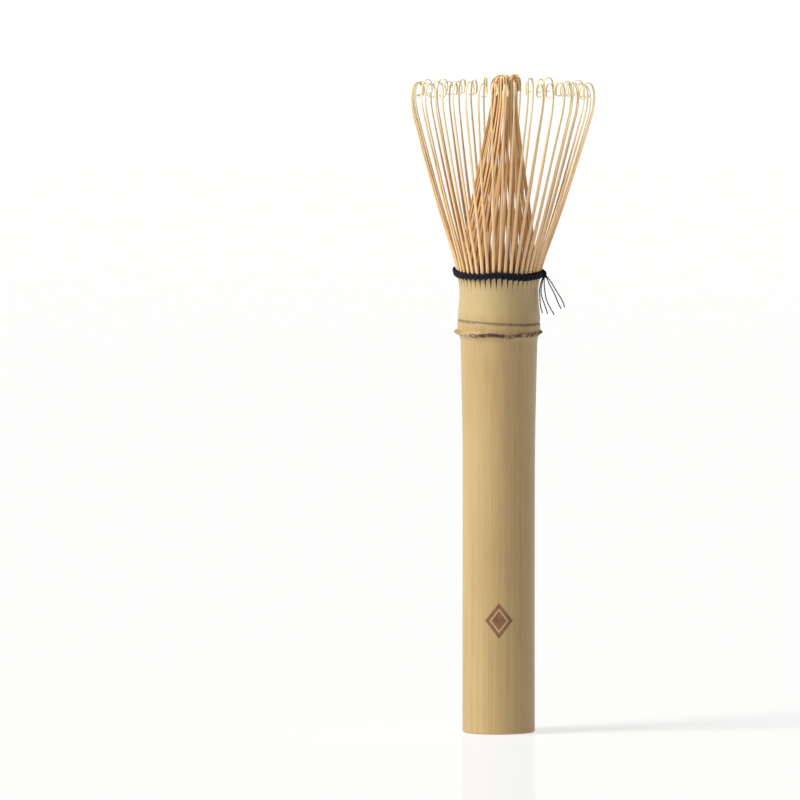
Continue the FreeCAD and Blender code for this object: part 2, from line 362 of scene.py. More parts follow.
def new_material(name):
    """An empty material, and its Principled shader already wired to the output."""
    material = bpy.data.materials.new(name)
    material.use_nodes = True
    return material, material.node_tree.nodes["Principled BSDF"]


def node(tree, kind, inputs=None, **settings):
    """One shader node. An input is a value or another node's output socket."""
    made = tree.nodes.new(kind)
    for key, value in settings.items():
        setattr(made, key, value)
    for key, value in (inputs or {}).items():
        socket = made.inputs[key]
        if isinstance(value, bpy.types.NodeSocket):
            tree.links.new(value, socket)
        else:
            socket.default_value = value
    return made


def colour(red, green, blue):
    """An sRGB colour out of 255 as the linear colour that sockets hold."""
    linear = []
    for part in (red, green, blue):
        s = part / 255
        linear.append(s / 12.92 if s <= 0.04045 else ((s + 0.055) / 1.055) ** 2.4)
    return (*linear, 1.0)


def ramp(tree, value, stops):
    """A colour ramp over value, from (position, colour) stops in rising order."""
    made = tree.nodes.new("ShaderNodeValToRGB")
    tree.links.new(value, made.inputs["Fac"])
    elements = made.color_ramp.elements
    for end, (position, shade) in zip((elements[0], elements[1]), (stops[0], stops[-1])):
        end.position = position
        end.color = shade
    for position, shade in stops[1:-1]:
        elements.new(position).color = shade
    return made.outputs["Color"]


def mix(tree, factor, a, b, blend="MIX"):
    """Two colours mixed."""
    made = node(tree, "ShaderNodeMix", data_type="RGBA", blend_type=blend)
    for socket, value in ((made.inputs[0], factor), (made.inputs[6], a), (made.inputs[7], b)):
        if isinstance(value, bpy.types.NodeSocket):
            tree.links.new(value, socket)
        else:
            socket.default_value = value
    return made.outputs[2]


def maths(tree, operation, a, b=0.0, c=0.0, clamp=False):
    """One arithmetic step."""
    made = tree.nodes.new("ShaderNodeMath")
    made.operation = operation
    made.use_clamp = clamp
    for k, value in enumerate((a, b, c)):
        if isinstance(value, bpy.types.NodeSocket):
            tree.links.new(value, made.inputs[k])
        else:
            made.inputs[k].default_value = value
    return made.outputs[0]


def grain(tree, coordinates, scales, detail=3.0, rough=0.6):
    """Noise with its own scale along each axis, which draws fibres."""
    mapping = node(tree, "ShaderNodeMapping", {"Vector": coordinates, "Scale": scales})
    made = node(
        tree,
        "ShaderNodeTexNoise",
        {"Vector": mapping.outputs[0], "Scale": 1.0, "Detail": detail, "Roughness": rough},
    )
    return made.outputs[0]


def attribute(tree, name):
    """A value stored on the mesh."""
    return node(tree, "ShaderNodeAttribute", attribute_name=name).outputs["Fac"]


def bump(tree, height, strength, distance):
    """A normal from a height, with the distance in millimetres."""
    made = node(
        tree, "ShaderNodeBump", {"Height": height, "Strength": strength, "Distance": distance * MM}
    )
    return made.outputs[0]


# ---------------------------------------------------------------- materials


def skin_material():
    """Dried bamboo skin: straw with fine lengthwise fibres, faint blotches, a dark scar and groove at
    the node, and a small burnt mark near the foot."""
    material, shader = new_material("bamboo_skin")
    tree = material.node_tree
    place = node(tree, "ShaderNodeTexCoord").outputs["Object"]
    fibres = grain(tree, place, (2300, 2300, 18), 4, 0.7)
    bands = grain(tree, place, (520, 520, 5), 2, 0.5)
    clouds = grain(tree, place, (60, 60, 22), 3, 0.6)
    straw = ramp(
        tree,
        bands,
        [(0.30, colour(167, 139, 91)), (0.52, colour(175, 147, 99)), (0.72, colour(183, 156, 107))],
    )
    cloudy = ramp(tree, clouds, [(0.35, colour(163, 134, 87)), (0.68, colour(187, 162, 111))])
    base = mix(tree, 0.38, straw, cloudy)
    streaks = ramp(tree, fibres, [(0.36, colour(152, 120, 76)), (0.60, colour(206, 178, 128))])
    base = mix(tree, 0.20, base, streaks)
    base = mix(tree, attribute(tree, "blush"), base, colour(168, 122, 78))
    base = mix(tree, maths(tree, "MULTIPLY", attribute(tree, "pale"), 0.5), base, colour(188, 166, 121))
    base = mix(tree, attribute(tree, "scar"), base, colour(60, 30, 36))
    char = grain(tree, place, (900, 900, 300), 3, 0.6)
    burnt = ramp(tree, char, [(0.3, colour(98, 54, 34)), (0.7, colour(136, 84, 56))])
    base = mix(tree, burnt_mark(tree, place), base, burnt)
    tree.links.new(base, shader.inputs["Base Color"])
    gloss = ramp(tree, bands, [(0.3, (0.36, 0.36, 0.36, 1)), (0.7, (0.50, 0.50, 0.50, 1))])
    worn = mix(tree, attribute(tree, "scar"), gloss, (0.85, 0.85, 0.85, 1))
    tree.links.new(worn, shader.inputs["Roughness"])
    shader.inputs["Coat Weight"].default_value = 0.12
    shader.inputs["Coat Roughness"].default_value = 0.30
    shader.inputs["Specular IOR Level"].default_value = 0.45
    relief = maths(tree, "ADD", fibres, maths(tree, "MULTIPLY", bands, 0.8))
    tree.links.new(bump(tree, relief, 0.35, 0.05), shader.inputs["Normal"])
    return material


def burnt_mark(tree, place):
    """A plain burnt lozenge on the front of the handle, with a bare line inside its edge, as a mask."""
    mark_z, half_high, half_wide = 38.0, 6.0, 4.6
    line_at, burnt_through = 0.62, 0.9
    split = node(tree, "ShaderNodeSeparateXYZ", {"Vector": place})
    x = maths(tree, "ABSOLUTE", maths(tree, "MULTIPLY", split.outputs["X"], 1 / (half_wide * MM)))
    z = maths(tree, "SUBTRACT", split.outputs["Z"], mark_z * MM)
    z = maths(tree, "ABSOLUTE", maths(tree, "MULTIPLY", z, 1 / (half_high * MM)))
    reach = maths(tree, "ADD", x, z)
    inside = maths(tree, "MULTIPLY_ADD", reach, -12.0, 12.5, clamp=True)
    from_line = maths(tree, "ABSOLUTE", maths(tree, "SUBTRACT", reach, line_at))
    off_line = maths(tree, "MULTIPLY_ADD", from_line, 20.0, -0.9, clamp=True)
    front = maths(tree, "LESS_THAN", split.outputs["Y"], 0.0)
    shape = maths(tree, "MULTIPLY", inside, off_line)
    return maths(tree, "MULTIPLY", maths(tree, "MULTIPLY", shape, front), burnt_through)


def cut_material():
    """Bamboo cut across or scraped inside: pale, with the dark dots of its fibre bundles, and painted
    shade inside the slits."""
    material, shader = new_material("bamboo_cut")
    tree = material.node_tree
    place = node(tree, "ShaderNodeTexCoord").outputs["Object"]
    mapping = node(tree, "ShaderNodeMapping", {"Vector": place, "Scale": (1500, 1500, 60)})
    cells = node(tree, "ShaderNodeTexVoronoi", {"Vector": mapping.outputs[0], "Scale": 1.0})
    dots = ramp(tree, cells.outputs["Distance"], [(0.16, (1, 1, 1, 1)), (0.34, (0, 0, 0, 1))])
    cloud = grain(tree, place, (140, 140, 40), 4, 0.6)
    pith = ramp(tree, cloud, [(0.3, colour(206, 172, 118)), (0.7, colour(236, 212, 164))])
    base = mix(tree, maths(tree, "MULTIPLY", dots, 0.55), pith, colour(132, 88, 50))
    # Painted shade: faces inside the slits are darkened towards dark brown, standing in for the shade there
    base = mix(tree, attribute(tree, "deep"), base, colour(62, 38, 26))
    tree.links.new(base, shader.inputs["Base Color"])
    shader.inputs["Roughness"].default_value = 0.78
    tree.links.new(bump(tree, cells.outputs["Distance"], 0.3, 0.06), shader.inputs["Normal"])
    return material


def tine_material(name, stops, dark, light):
    """Split and shaved bamboo, coloured along the tine by stops, with fibres that follow it."""
    material, shader = new_material(name)
    tree = material.node_tree
    along, across, tone = (attribute(tree, key) for key in ("along", "across", "tone"))
    shifted = maths(tree, "MULTIPLY_ADD", tone, 37.0, maths(tree, "MULTIPLY", across, 3.2))
    place = node(
        tree,
        "ShaderNodeCombineXYZ",
        {"X": shifted, "Y": maths(tree, "MULTIPLY", along, 5.0), "Z": maths(tree, "MULTIPLY", tone, 91.0)},
    ).outputs[0]
    fibres = grain(tree, place, (2.2, 1.0, 1.0), 5, 0.75)
    blotches = grain(tree, place, (0.25, 1.6, 1.0), 2, 0.5)
    base = ramp(tree, along, stops)
    streaks = ramp(tree, fibres, [(0.34, dark), (0.64, light)])
    base = mix(tree, 0.34, base, streaks)
    shade = ramp(tree, blotches, [(0.3, (0.86, 0.82, 0.76, 1)), (0.7, (1.06, 1.05, 1.02, 1))])
    base = mix(tree, 0.8, base, shade, "MULTIPLY")
    own = ramp(tree, tone, [(0.0, (0.88, 0.84, 0.79, 1)), (1.0, (1.07, 1.07, 1.07, 1))])
    base = mix(tree, 0.85, base, own, "MULTIPLY")
    tree.links.new(base, shader.inputs["Base Color"])
    shader.inputs["Roughness"].default_value = 0.52
    shader.inputs["Specular IOR Level"].default_value = 0.4
    shader.inputs["Subsurface Weight"].default_value = 0.06
    shader.inputs["Subsurface Scale"].default_value = 0.4 * MM
    tree.links.new(bump(tree, fibres, 0.3, 0.03), shader.inputs["Normal"])
    return material


def thread_material():
    """Navy-black cotton: matt, with a soft sheen and a fuzz of fine fibres."""
    material, shader = new_material("cotton_thread")
    tree = material.node_tree
    place = node(tree, "ShaderNodeTexCoord").outputs["Object"]
    fuzz = grain(tree, place, (5200, 5200, 5200), 3, 0.7)
    patches = grain(tree, place, (700, 700, 700), 2, 0.5)
    base = ramp(tree, fuzz, [(0.32, colour(3, 3, 12)), (0.70, colour(15, 14, 40))])
    faded = ramp(tree, patches, [(0.3, colour(4, 4, 13)), (0.7, colour(14, 14, 35))])
    base = mix(tree, 0.35, base, faded)
    tree.links.new(base, shader.inputs["Base Color"])
    shader.inputs["Roughness"].default_value = 0.88
    shader.inputs["Sheen Weight"].default_value = 0.06
    shader.inputs["Specular IOR Level"].default_value = 0.3
    shader.inputs["Sheen Roughness"].default_value = 0.5
    tree.links.new(bump(tree, fuzz, 0.6, 0.06), shader.inputs["Normal"])
    return material


# ---------------------------------------------------------------- culm


def slit_half(z, azimuth, root_gap):
    """Half the width in degrees of the slit between two stubs at a height. It opens fast from its foot
    and then evenly."""
    foot = SLIT_Z + SLIT_RISE * (1 - math.cos(math.radians(azimuth - FRONT)))
    return root_gap / 2 * min(max((z - foot) / (ROOT_Z - foot), 0), 1) ** SLIT_FLARE


def skin_radius(level, azimuth):
    """The culm's outer radius at a level of its profile, with the groove, the sheath scar's broken
    ridge and the culm's slight waviness. Also says how dark the scar is there."""
    radius = through(SKIN_PROFILE, level)
    a = math.radians(azimuth)
    ring = Vector((math.cos(a), math.sin(a), 0))
    radius += SKIN_WAVE * noise.noise(ring * 1.3 + Vector((0, 0, level * 0.012)))
    radius -= GROOVE_DEPTH * bell(level, GROOVE_Z, GROOVE_HALF)
    lumps = noise.noise(ring * 9 + Vector((0, 0, level * 0.7)))
    crumbs = noise.noise(ring * 34 + Vector((4.0, 0, level * 2.6)))
    # The ridge stands out most at the left, then at the right, and is broken all round
    sides = math.cos(a) ** 2
    left = max(-math.cos(a), 0) ** 4
    crest = 0.20 + 0.40 * sides + 0.55 * left + 0.36 * lumps + 0.30 * crumbs
    radius += crest * bell(level, RIDGE_Z + 0.15, RIDGE_HALF)
    nub = bud(level, azimuth)
    radius += BUD_STANDS_OUT * max(1 - nub, 0)
    off_clean = ease(abs(turn_between(azimuth, FRONT + CLEAN_AZIMUTH)), 22, 40)
    flecks = ease(0.8 * lumps + 0.8 * crumbs + 0.36, -0.05, 0.22) * off_clean
    # In turn: the scar's flecks, the stain round them, the groove's stain and the edge of the bud
    stain = max(
        0.95 * flecks * bell(level, RIDGE_Z - 0.15, 0.74, 4),
        0.25 * off_clean * bell(level, RIDGE_Z, 1.2),
        0.60 * (0.85 + 0.5 * lumps) * bell(level, GROOVE_Z, 0.52, 4),
        0.9 * bell(nub, 1.15, 0.30),
    )
    return radius, min(max(stain, 0), 1) * ease(nub, 0.5, 0.9)


def turn_between(a, b):
    """The turn in degrees from azimuth b to azimuth a, from -180 to 180."""
    return (a - b + 180) % 360 - 180


def bud(level, azimuth):
    """How far a point of the skin is from the dormant bud on the scar, where 1 is on its edge."""
    across = turn_between(azimuth, FRONT + BUD_AZIMUTH) / BUD_HALF_WIDE
    return math.hypot(across, (level - RIDGE_Z + 0.25) / BUD_HALF_HIGH)


def skin_height(level, azimuth):
    """Where a level of the profile stands: the node runs round the culm a little out of true."""
    near_node = ease(level, 108, 128) * (1 - ease(level, 139, 148))
    a = math.radians(azimuth)
    ring = Vector((math.cos(a), math.sin(a), 0))
    left_up = RIDGE_TILT + (GROOVE_TILT - RIDGE_TILT) * ease(level, RIDGE_Z + 0.8, GROOVE_Z - 0.6)
    tilt = through(SKIN_PROFILE, level) * (FRONT_DROP * math.sin(a) - left_up * math.cos(a))
    wander = 0.55 * bell(level, RIDGE_Z, 1.6) * noise.noise(ring * 2.3)
    return level + near_node * tilt + wander


def stub_faces(z, root_r, lean, thick):
    """A tine's inner and outer radius where its straight root is carried down to a height."""
    middle = root_r + (z - ROOT_Z) * math.tan(math.radians(lean))
    half = thick / 2 / math.cos(math.radians(lean))
    return middle - half, middle + half


class Shell:
    """Points and faces of the culm as they are added, where rows of a grid share their corners."""

    def __init__(self):
        self.points, self.faces, self.second = [], [], []
        self.tones = {"scar": [], "blush": [], "pale": [], "deep": []}

    def add(self, point, scar=0.0, blush=0.0, pale=0.0, deep=0.0):
        self.points.append(point)
        for key, value in (("scar", scar), ("blush", blush), ("pale", pale), ("deep", deep)):
            self.tones[key].append(value)
        return len(self.points) - 1

    def strip(self, low, high, cut=False, closed=False):
        """Quads between two rows of points."""
        count = len(low)
        for k in range(count if closed else count - 1):
            after = (k + 1) % count
            if cut:
                self.second.append(len(self.faces))
            self.faces.append((low[k], low[after], high[after], high[k]))


def stub_row(shell, first, offset, low_radii, high_radii, gap):
    """A ring of stubs parted by V slits, from the slits' foot to the stubs' top. first is the row of
    points that the outer row's pale skin grows from, and offset is the first stub's place in pitches.
    Inside the slits the bamboo is darkened by painted shade."""
    for k in range(TINE_COUNT):
        middle = outer_azimuth(k + offset)
        before_out, before_in = None, None
        for step in range(SLIT_STEPS + 1):
            share = step / SLIT_STEPS
            z = SLIT_Z + (STUB_TOP_Z - SLIT_Z) * share
            half = PITCH / 2 - slit_half(z, middle, gap)
            # Painted shade inside the slits: none at their foot, and full from halfway up to the stubs' top
            shade = 0.9 * ease(share, 0, 0.5)
            inner_r = low_radii[0] + (high_radii[0] - low_radii[0]) * share
            outer_r = low_radii[1] + (high_radii[1] - low_radii[1]) * share
            out_points, in_points = [], []
            for j in range(COLUMNS_PER_TINE + 1):
                azimuth = middle + half * (2 * j / COLUMNS_PER_TINE - 1)
                if step == 0 and first is not None:
                    index = (k * COLUMNS_PER_TINE + j) % len(first)
                    out_points.append(first[index])
                elif first is not None:
                    out_points.append(shell.add(polar(outer_r, azimuth, z), pale=1))
                else:
                    out_points.append(shell.add(polar(outer_r, azimuth, z), deep=shade))
                in_points.append(shell.add(polar(inner_r, azimuth, z), deep=shade))
            if before_out:
                shell.strip(before_out, out_points, cut=first is None)
                shell.strip(in_points, before_in, cut=True)
                shell.strip([before_in[0], before_out[0]], [in_points[0], out_points[0]], cut=True)
                shell.strip([before_out[-1], before_in[-1]], [out_points[-1], in_points[-1]], cut=True)
            else:
                shell.strip(in_points, out_points, cut=True)
            before_out, before_in = out_points, in_points
        shell.strip(before_out, before_in, cut=True)


def skin_row(shell, azimuths, level):
    """One row of the outer skin with its stains. Fine cracks run down it from the foot of each slit."""
    row = []
    for k, azimuth in enumerate(azimuths):
        radius, scar = skin_radius(level, azimuth)
        if k % COLUMNS_PER_TINE == 0:
            crack_foot = SLIT_Z - CRACK_LONG - CRACK_LONG_SPREAD * max(chance(k, 21), 0)
            scar = max(scar, CRACK_STAIN * ease(level, crack_foot, SLIT_Z))
        a = math.radians(azimuth)
        patch = noise.noise(Vector((math.cos(a), math.sin(a), level * 0.03)) * 1.7)
        blush = 0.12 * max(patch, 0) + 0.20 * bell(level, RIDGE_Z + 1.15, 1.8)
        pale = ease(level, GROOVE_Z + 0.3, GROOVE_Z + 3.8)
        place = polar(radius, azimuth, skin_height(level, azimuth))
        row.append(shell.add(place, scar, blush, pale))
    return row


def collar_row(shell, azimuths, radius):
    """The skin's last row, which the outer row of stubs grows from."""
    row = []
    for k, azimuth in enumerate(azimuths):
        scar = CRACK_STAIN if k % COLUMNS_PER_TINE == 0 else 0.0
        row.append(shell.add(polar(radius, azimuth, SLIT_Z), scar=scar, pale=1))
    return row


def close_hollow(shell, rim, z, facing_up):
    """The flat end of a hollow."""
    middle = shell.add(Vector((0, 0, z)))
    for here, after in zip(rim, rim[1:] + rim[:1]):
        shell.second.append(len(shell.faces))
        shell.faces.append((here, after, middle) if facing_up else (after, here, middle))


def make_culm():
    """The culm: skin, cut end, bore, diaphragm, upper cavity and the stubs of both rows of tines."""
    shell = Shell()
    columns = TINE_COUNT * COLUMNS_PER_TINE
    azimuths = [outer_azimuth(-0.5) + 360 * k / columns for k in range(columns)]

    def ring(radius, z):
        return [shell.add(polar(radius, azimuth, z)) for azimuth in azimuths]

    foot = ring(RIM_R - END_CHAMFER, 0)
    rows = [foot]
    for lowest, step, count in SKIN_ROWS:
        rows += [skin_row(shell, azimuths, lowest + k * step) for k in range(count)]
    collar_r = through(SKIN_PROFILE, SLIT_Z)
    collar = collar_row(shell, azimuths, collar_r)
    rows.append(collar)
    for low, high in zip(rows, rows[1:]):
        shell.strip(low, high, closed=True)

    bore = [foot] + [ring(radius, z) for radius, z in BORE_PROFILE]
    for low, high in zip(bore, bore[1:]):
        shell.strip(high, low, cut=True, closed=True)
    close_hollow(shell, bore[-1], BORE_TOP_Z, facing_up=False)
    cavity = [ring(radius, z) for radius, z in CAVITY_PROFILE]
    for high, low in zip(cavity, cavity[1:]):
        shell.strip(high, low, cut=True, closed=True)
    close_hollow(shell, cavity[-1], DIAPHRAGM_TOP_Z, facing_up=True)
    shell.strip(collar, cavity[0], cut=True, closed=True)

    outer_high = stub_faces(STUB_TOP_Z, ROOT_R, OUTER_LEAN, OUTER_ROOT_THICK)
    inner_high = stub_faces(STUB_TOP_Z, INNER_ROOT_R, INNER_LEAN, INNER_ROOT_THICK)
    outer_gap = PITCH - math.degrees(OUTER_ROOT_WIDE / ROOT_R)
    inner_gap = PITCH - math.degrees(INNER_ROOT_WIDE / INNER_ROOT_R)
    stub_row(shell, collar, 0, (WALL_PARTS_R, collar_r), outer_high, outer_gap)
    stub_row(shell, None, 0.5, (WALL_INNER_R, WALL_PARTS_R), inner_high, inner_gap)
    return make_piece("culm", shell.points, shell.faces, shell.tones, 35, shell.second)


# ---------------------------------------------------------------- outer tines


def heading(degrees):
    """The direction in the XZ plane that leans so many degrees out from vertical."""
    a = math.radians(degrees)
    return Vector((math.sin(a), 0, math.cos(a)))


def walk(start, lean, thick, runs):
    """Points along a path of arcs: (distance, point, lean, thickness)."""
    stations = [(0.0, start, lean, thick)]
    gone, point = 0.0, start
    for length, turn, end_thick in runs:
        count = max(3, round(max(length / STATION_STEP, abs(turn) / TURN_STEP)))
        for k in range(1, count + 1):
            share = k / count
            bend = math.radians(turn) * share / 2
            reach = math.sin(bend) / bend * length * share
            here = point + heading(lean + turn * share / 2) * reach
            t = thick + (end_thick - thick) * share
            stations.append((gone + length * share, here, lean + turn * share, t))
        gone, point, lean, thick = gone + length, here, lean + turn, end_thick
    return stations


def directions(path, closed):
    """The direction of a path at each of its points."""
    count = len(path)
    for k in range(count):
        ahead = path[(k + 1) % count] if closed else path[min(k + 1, count - 1)]
        behind = path[k - 1] if closed else path[max(k - 1, 0)]
        yield (ahead - behind).normalized()


def blade(stations, halves, tone, points, faces, tones):
    """Adds a tine to a mesh: a flat strip with eased corners and a slightly crowned outer face, from
    stations (share of the length, point, direction, outward normal, thickness)."""
    before = None
    for share, point, along, outward, thick in stations:
        half = through(halves, share)
        across = along.cross(outward).normalized()
        t = thick / 2
        corner = min(CORNER_OF_WIDTH * half, CORNER_OF_THICKNESS * t)
        section = [
            (-half, -t + corner), (-half, t - corner), (-half + corner, t), (0, t * CROWN),
            (half - corner, t), (half, t - corner), (half, -t + corner), (half - corner, -t),
            (-half + corner, -t),
        ]
        ring = []
        for x, y in section:
            ring.append(len(points))
            points.append(point + across * x + outward * y)
            tones["along"].append(share)
            tones["across"].append(x + 0.5 * y)
            tones["tone"].append(tone)
        if before:
            for j in range(len(ring)):
                after = (j + 1) % len(ring)
                faces.append((before[j], before[after], ring[after], ring[j]))
        else:
            faces.append(tuple(reversed(ring)))
        before = ring
    faces.append(tuple(before))


def outer_path(number):
    """An outer tine's path in the XZ plane as walk gives it, and how long its shaft is."""
    azimuth = math.radians(outer_azimuth(number))
    longer = 1 + LENGTH_SPREAD * chance(number, 1) - FRONT_LONGER * math.sin(azimuth)
    longer += ACROSS_LONGER * math.sin(azimuth) ** 2
    looser = 1 + CURL_SPREAD * chance(number, 2)
    lean = OUTER_LEAN + ROW_LEAN * math.cos(azimuth) + LEAN_SPREAD * chance(number, 3)
    shaft = [(length * longer, turn, thick) for length, turn, thick in OUTER_SHAFT]
    curl = [(length * looser, turn, thick) for length, turn, thick in OUTER_CURL]
    root = Vector((ROOT_R, 0, ROOT_Z))
    path = walk(root, lean, OUTER_ROOT_THICK, shaft + curl)
    return path, sum(run[0] for run in shaft)


def outer_stations(number):
    """Stations for blade of an outer tine. Its curl turns a little sideways, as no two tips curl alike."""
    azimuth = math.radians(outer_azimuth(number))
    path, shaft_long = outer_path(number)
    whole = path[-1][0]
    swing = CURL_SWING_SPREAD * chance(number, 5) - CURL_SWING * math.sin(2 * azimuth - CURL_SWING_PHASE)
    bow = BOW_SPREAD * chance(number, 6)
    sway = ROW_LEAN * math.sin(azimuth) + SWAY_SPREAD * chance(number, 4)
    curl_start = next(point for gone, point, _, _ in path if gone >= shaft_long - 0.01)
    round_whisk = Matrix.Rotation(azimuth, 3, "Z")
    place = round_whisk @ Matrix.Rotation(math.radians(sway), 3, "X")
    root = path[0][1]
    stations = []
    for gone, point, angle, thick in path:
        turned = ease(gone, shaft_long - SWING_BEFORE_CURL, whole - SWING_BEFORE_TIP)
        spin = Matrix.Rotation(math.radians(swing) * turned, 3, "Z")
        here = point
        if gone > shaft_long:
            here = curl_start + spin @ (point - curl_start)
        here = here + SIDEWAYS * (bow * math.sin(math.pi * min(gone / shaft_long, 1)))
        along = place @ (spin @ heading(angle))
        outward = place @ (spin @ heading(angle + 90))
        stations.append((gone / whole, round_whisk @ root + place @ (here - root), along, outward, thick))
    _, start, along, outward, thick = stations[0]
    foot = start - along * ((ROOT_Z - STUB_TOP_Z + FOOT_SINK) / along.z)
    return [(0.0, foot, along, outward, thick)] + stations


def make_outer_tine(number):
    """One outer tine, in place of the imported one."""
    points, faces = [], []
    tones = {"along": [], "across": [], "tone": []}
    tone = 0.5 + 0.5 * chance(number, 7)
    blade(outer_stations(number), OUTER_HALVES, tone, points, faces, tones)
    name = f"outer_tine_{number + 1:02d}"
    piece = make_piece("whisk_" + name, points, faces, tones, 50)
    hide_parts(name)
    piece.data.materials.append(OUTER_BAMBOO)
    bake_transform(piece)


# ---------------------------------------------------------------- inner tines


def inner_axis(z):
    """The middle of the cone of inner tines, which leans to the right and a little to the front."""
    share = min(max((z - ROOT_Z) / (INNER_SHIFT_Z - ROOT_Z), 0), 1.1)
    return Vector((INNER_SHIFT_RIGHT * share**1.4, -INNER_SHIFT_FRONT * share**2, 0))


def inner_path(number):
    """An inner tine's path: it closes in with a slight twist, and hooks over beside the middle."""
    azimuth = outer_azimuth(number + 0.5)
    layer = INNER_LAYER_SPREAD * chance(number, 11) + (INNER_LAYER if number % 2 else -INNER_LAYER)
    top = INNER_TOP_Z + INNER_TOP_SPREAD * chance(number, 12)
    stray = INNER_STRAY * chance(number, 13)
    path = []
    z = STUB_TOP_Z - FOOT_SINK
    while z < top:
        share = (z - ROOT_Z) / (top - ROOT_Z)
        radius = through(INNER_RADII, z) + layer * ease(share, 0.05, 0.5)
        bearing = azimuth + INNER_TWIST * ease(share, 0.0, 1.25) + stray * ease(share, 0.1, 1.0)
        path.append(polar(radius, bearing, z) + inner_axis(z))
        z += INNER_STEP
    return path + whorl_hook(path[-1], number)


def whorl_hook(start, number):
    """The curled tip of an inner tine: an arch from start that comes down on a gathering spot."""
    middle = inner_axis(start.z)
    spot = WHORL_FRONT
    if start.x - middle.x > WHORL_RIGHT_BEYOND:
        spot = WHORL_RIGHT
    elif start.y - middle.y > WHORL_MIDDLE_BEYOND:
        spot = WHORL_MIDDLE
    end = middle + spot + Vector((chance(number, 15), chance(number, 16), 0)) * WHORL_SPREAD
    reach = Vector((end.x - start.x, end.y - start.y, 0))
    if reach.length < HOOK_LEAST:
        reach = reach.normalized() * HOOK_LEAST
    peak = WHORL_TOP_Z - WHORL_TOP_SPREAD * abs(chance(number, 17)) - start.z
    hook = []
    for step in range(1, HOOK_STEPS + 1):
        t = step / HOOK_STEPS
        over = (1 - math.cos(math.pi * t)) / 2 - 0.16 * math.sin(2 * math.pi * t) * (1 - t)
        rise = peak * math.sin(math.pi * t) ** 0.8 + (spot.z - start.z) * t**3
        hook.append(start + reach * over + UP * rise)
    return hook


def inner_stations(path):
    """Stations for blade from an inner tine's path: each faces away from the cone's middle."""
    gone = [0.0]
    for a, b in zip(path, path[1:]):
        gone.append(gone[-1] + (b - a).length)
    away = path[0] - inner_axis(path[0].z)
    outward = Vector((away.x, away.y, 0))
    stations = []
    for point, along, reached in zip(path, directions(path, False), gone):
        outward = (outward - along * outward.dot(along)).normalized()
        share = reached / gone[-1]
        thick = INNER_ROOT_THICK + (INNER_TIP_THICK - INNER_ROOT_THICK) * share
        stations.append((share, point, along, outward, thick))
    return stations


def make_inner_tines(node_name, first):
    """The inner tines of one node, which stand side by side."""
    points, faces = [], []
    tones = {"along": [], "across": [], "tone": []}
    for number in range(first, first + INNER_PER_NODE):
        stations = inner_stations(inner_path(number))
        blade(stations, INNER_HALVES, 0.5 + 0.5 * chance(number, 14), points, faces, tones)
    piece = make_piece("whisk_" + node_name, points, faces, tones, 50)
    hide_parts(node_name)
    piece.data.materials.append(INNER_BAMBOO)
    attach(piece, "root")


# ---------------------------------------------------------------- thread


def tube(path, radius, sides, points, faces, closed=False):
    """Adds a round tube along a path to a mesh."""
    normal = next(directions(path, closed)).orthogonal()
    rings = []
    for point, along in zip(path, directions(path, closed)):
        normal = (normal - along * normal.dot(along)).normalized()
        side = along.cross(normal)
        ring = []
        for j in range(sides):
            a = 2 * math.pi * j / sides
            ring.append(len(points))
            points.append(point + (normal * math.cos(a) + side * math.sin(a)) * radius)
        rings.append(ring)
    pairs = list(zip(rings, rings[1:]))
    if closed:
        shift = nearest_start(points, rings[-1], rings[0])
        pairs.append((rings[-1], rings[0][shift:] + rings[0][:shift]))
    for low, high in pairs:
        for j in range(sides):
            after = (j + 1) % sides
            faces.append((low[j], low[after], high[after], high[j]))
    if not closed:
        faces.append(tuple(reversed(rings[0])))
        faces.append(tuple(rings[-1]))


def nearest_start(points, last, first):
    """How far to turn the first ring of a closed tube so that it meets the last one untwisted."""
    anchor = points[last[0]]
    return min(range(len(first)), key=lambda j: (points[first[j]] - anchor).length)


def plies(path, strand_r, lay, points, faces, closed=False):
    """Adds a twisted strand along a path: its plies wind round each other once per lay."""
    lengths = [0.0]
    for a, b in zip(path, path[1:]):
        lengths.append(lengths[-1] + (b - a).length)
    whole = lengths[-1] + ((path[0] - path[-1]).length if closed else 0)
    turns = max(1, round(whole / lay))
    ply_r = strand_r * PLY_OF_STRAND
    normal = UP
    frames = []
    for point, along in zip(path, directions(path, closed)):
        # Carrying the last point's normal on would leave a closed path's ends twisted apart
        before = UP if closed else normal
        normal = (before - along * before.dot(along)).normalized()
        frames.append((point, normal, along.cross(normal)))
    for ply in range(PLY_COUNT):
        winding = []
        for (point, up, side), gone in zip(frames, lengths):
            a = 2 * math.pi * (turns * gone / whole + ply / PLY_COUNT)
            winding.append(point + (up * math.cos(a) + side * math.sin(a)) * (strand_r - ply_r))
        tube(winding, ply_r, PLY_SIDES, points, faces, closed)


def band_height(azimuth):
    """The band is woven by hand: it wanders at the front, and stands higher at the back."""
    return BAND_Z + through(BAND_RISE, turn_between(azimuth, FRONT))


def woven_row(offset, slant):
    """The path of a strand that weaves out and in round the tines for two laps. The number of tines is
    odd, so the second lap passes outside those that the first passed inside, and twines with it."""
    steps = 2 * TINE_COUNT * STEPS_PER_TINE
    path = []
    for k in range(steps):
        lap = 720 * k / steps
        phase = math.radians(lap) * TINE_COUNT / 2
        azimuth = FRONT + lap
        z = band_height(azimuth) + offset + ROW_SWING * slant * math.sin(phase)
        inner_r, outer_r = stub_faces(z, ROOT_R, OUTER_LEAN, OUTER_ROOT_THICK)
        out_r = outer_r + STRAND_R + STRAND_CLEARANCE
        in_r = inner_r - STRAND_R * STRAND_BEHIND
        wave = math.tanh(WEAVE_SQUARE * math.cos(phase)) / math.tanh(WEAVE_SQUARE)
        path.append(polar((out_r + in_r) / 2 + (out_r - in_r) / 2 * wave, azimuth, z))
    return path


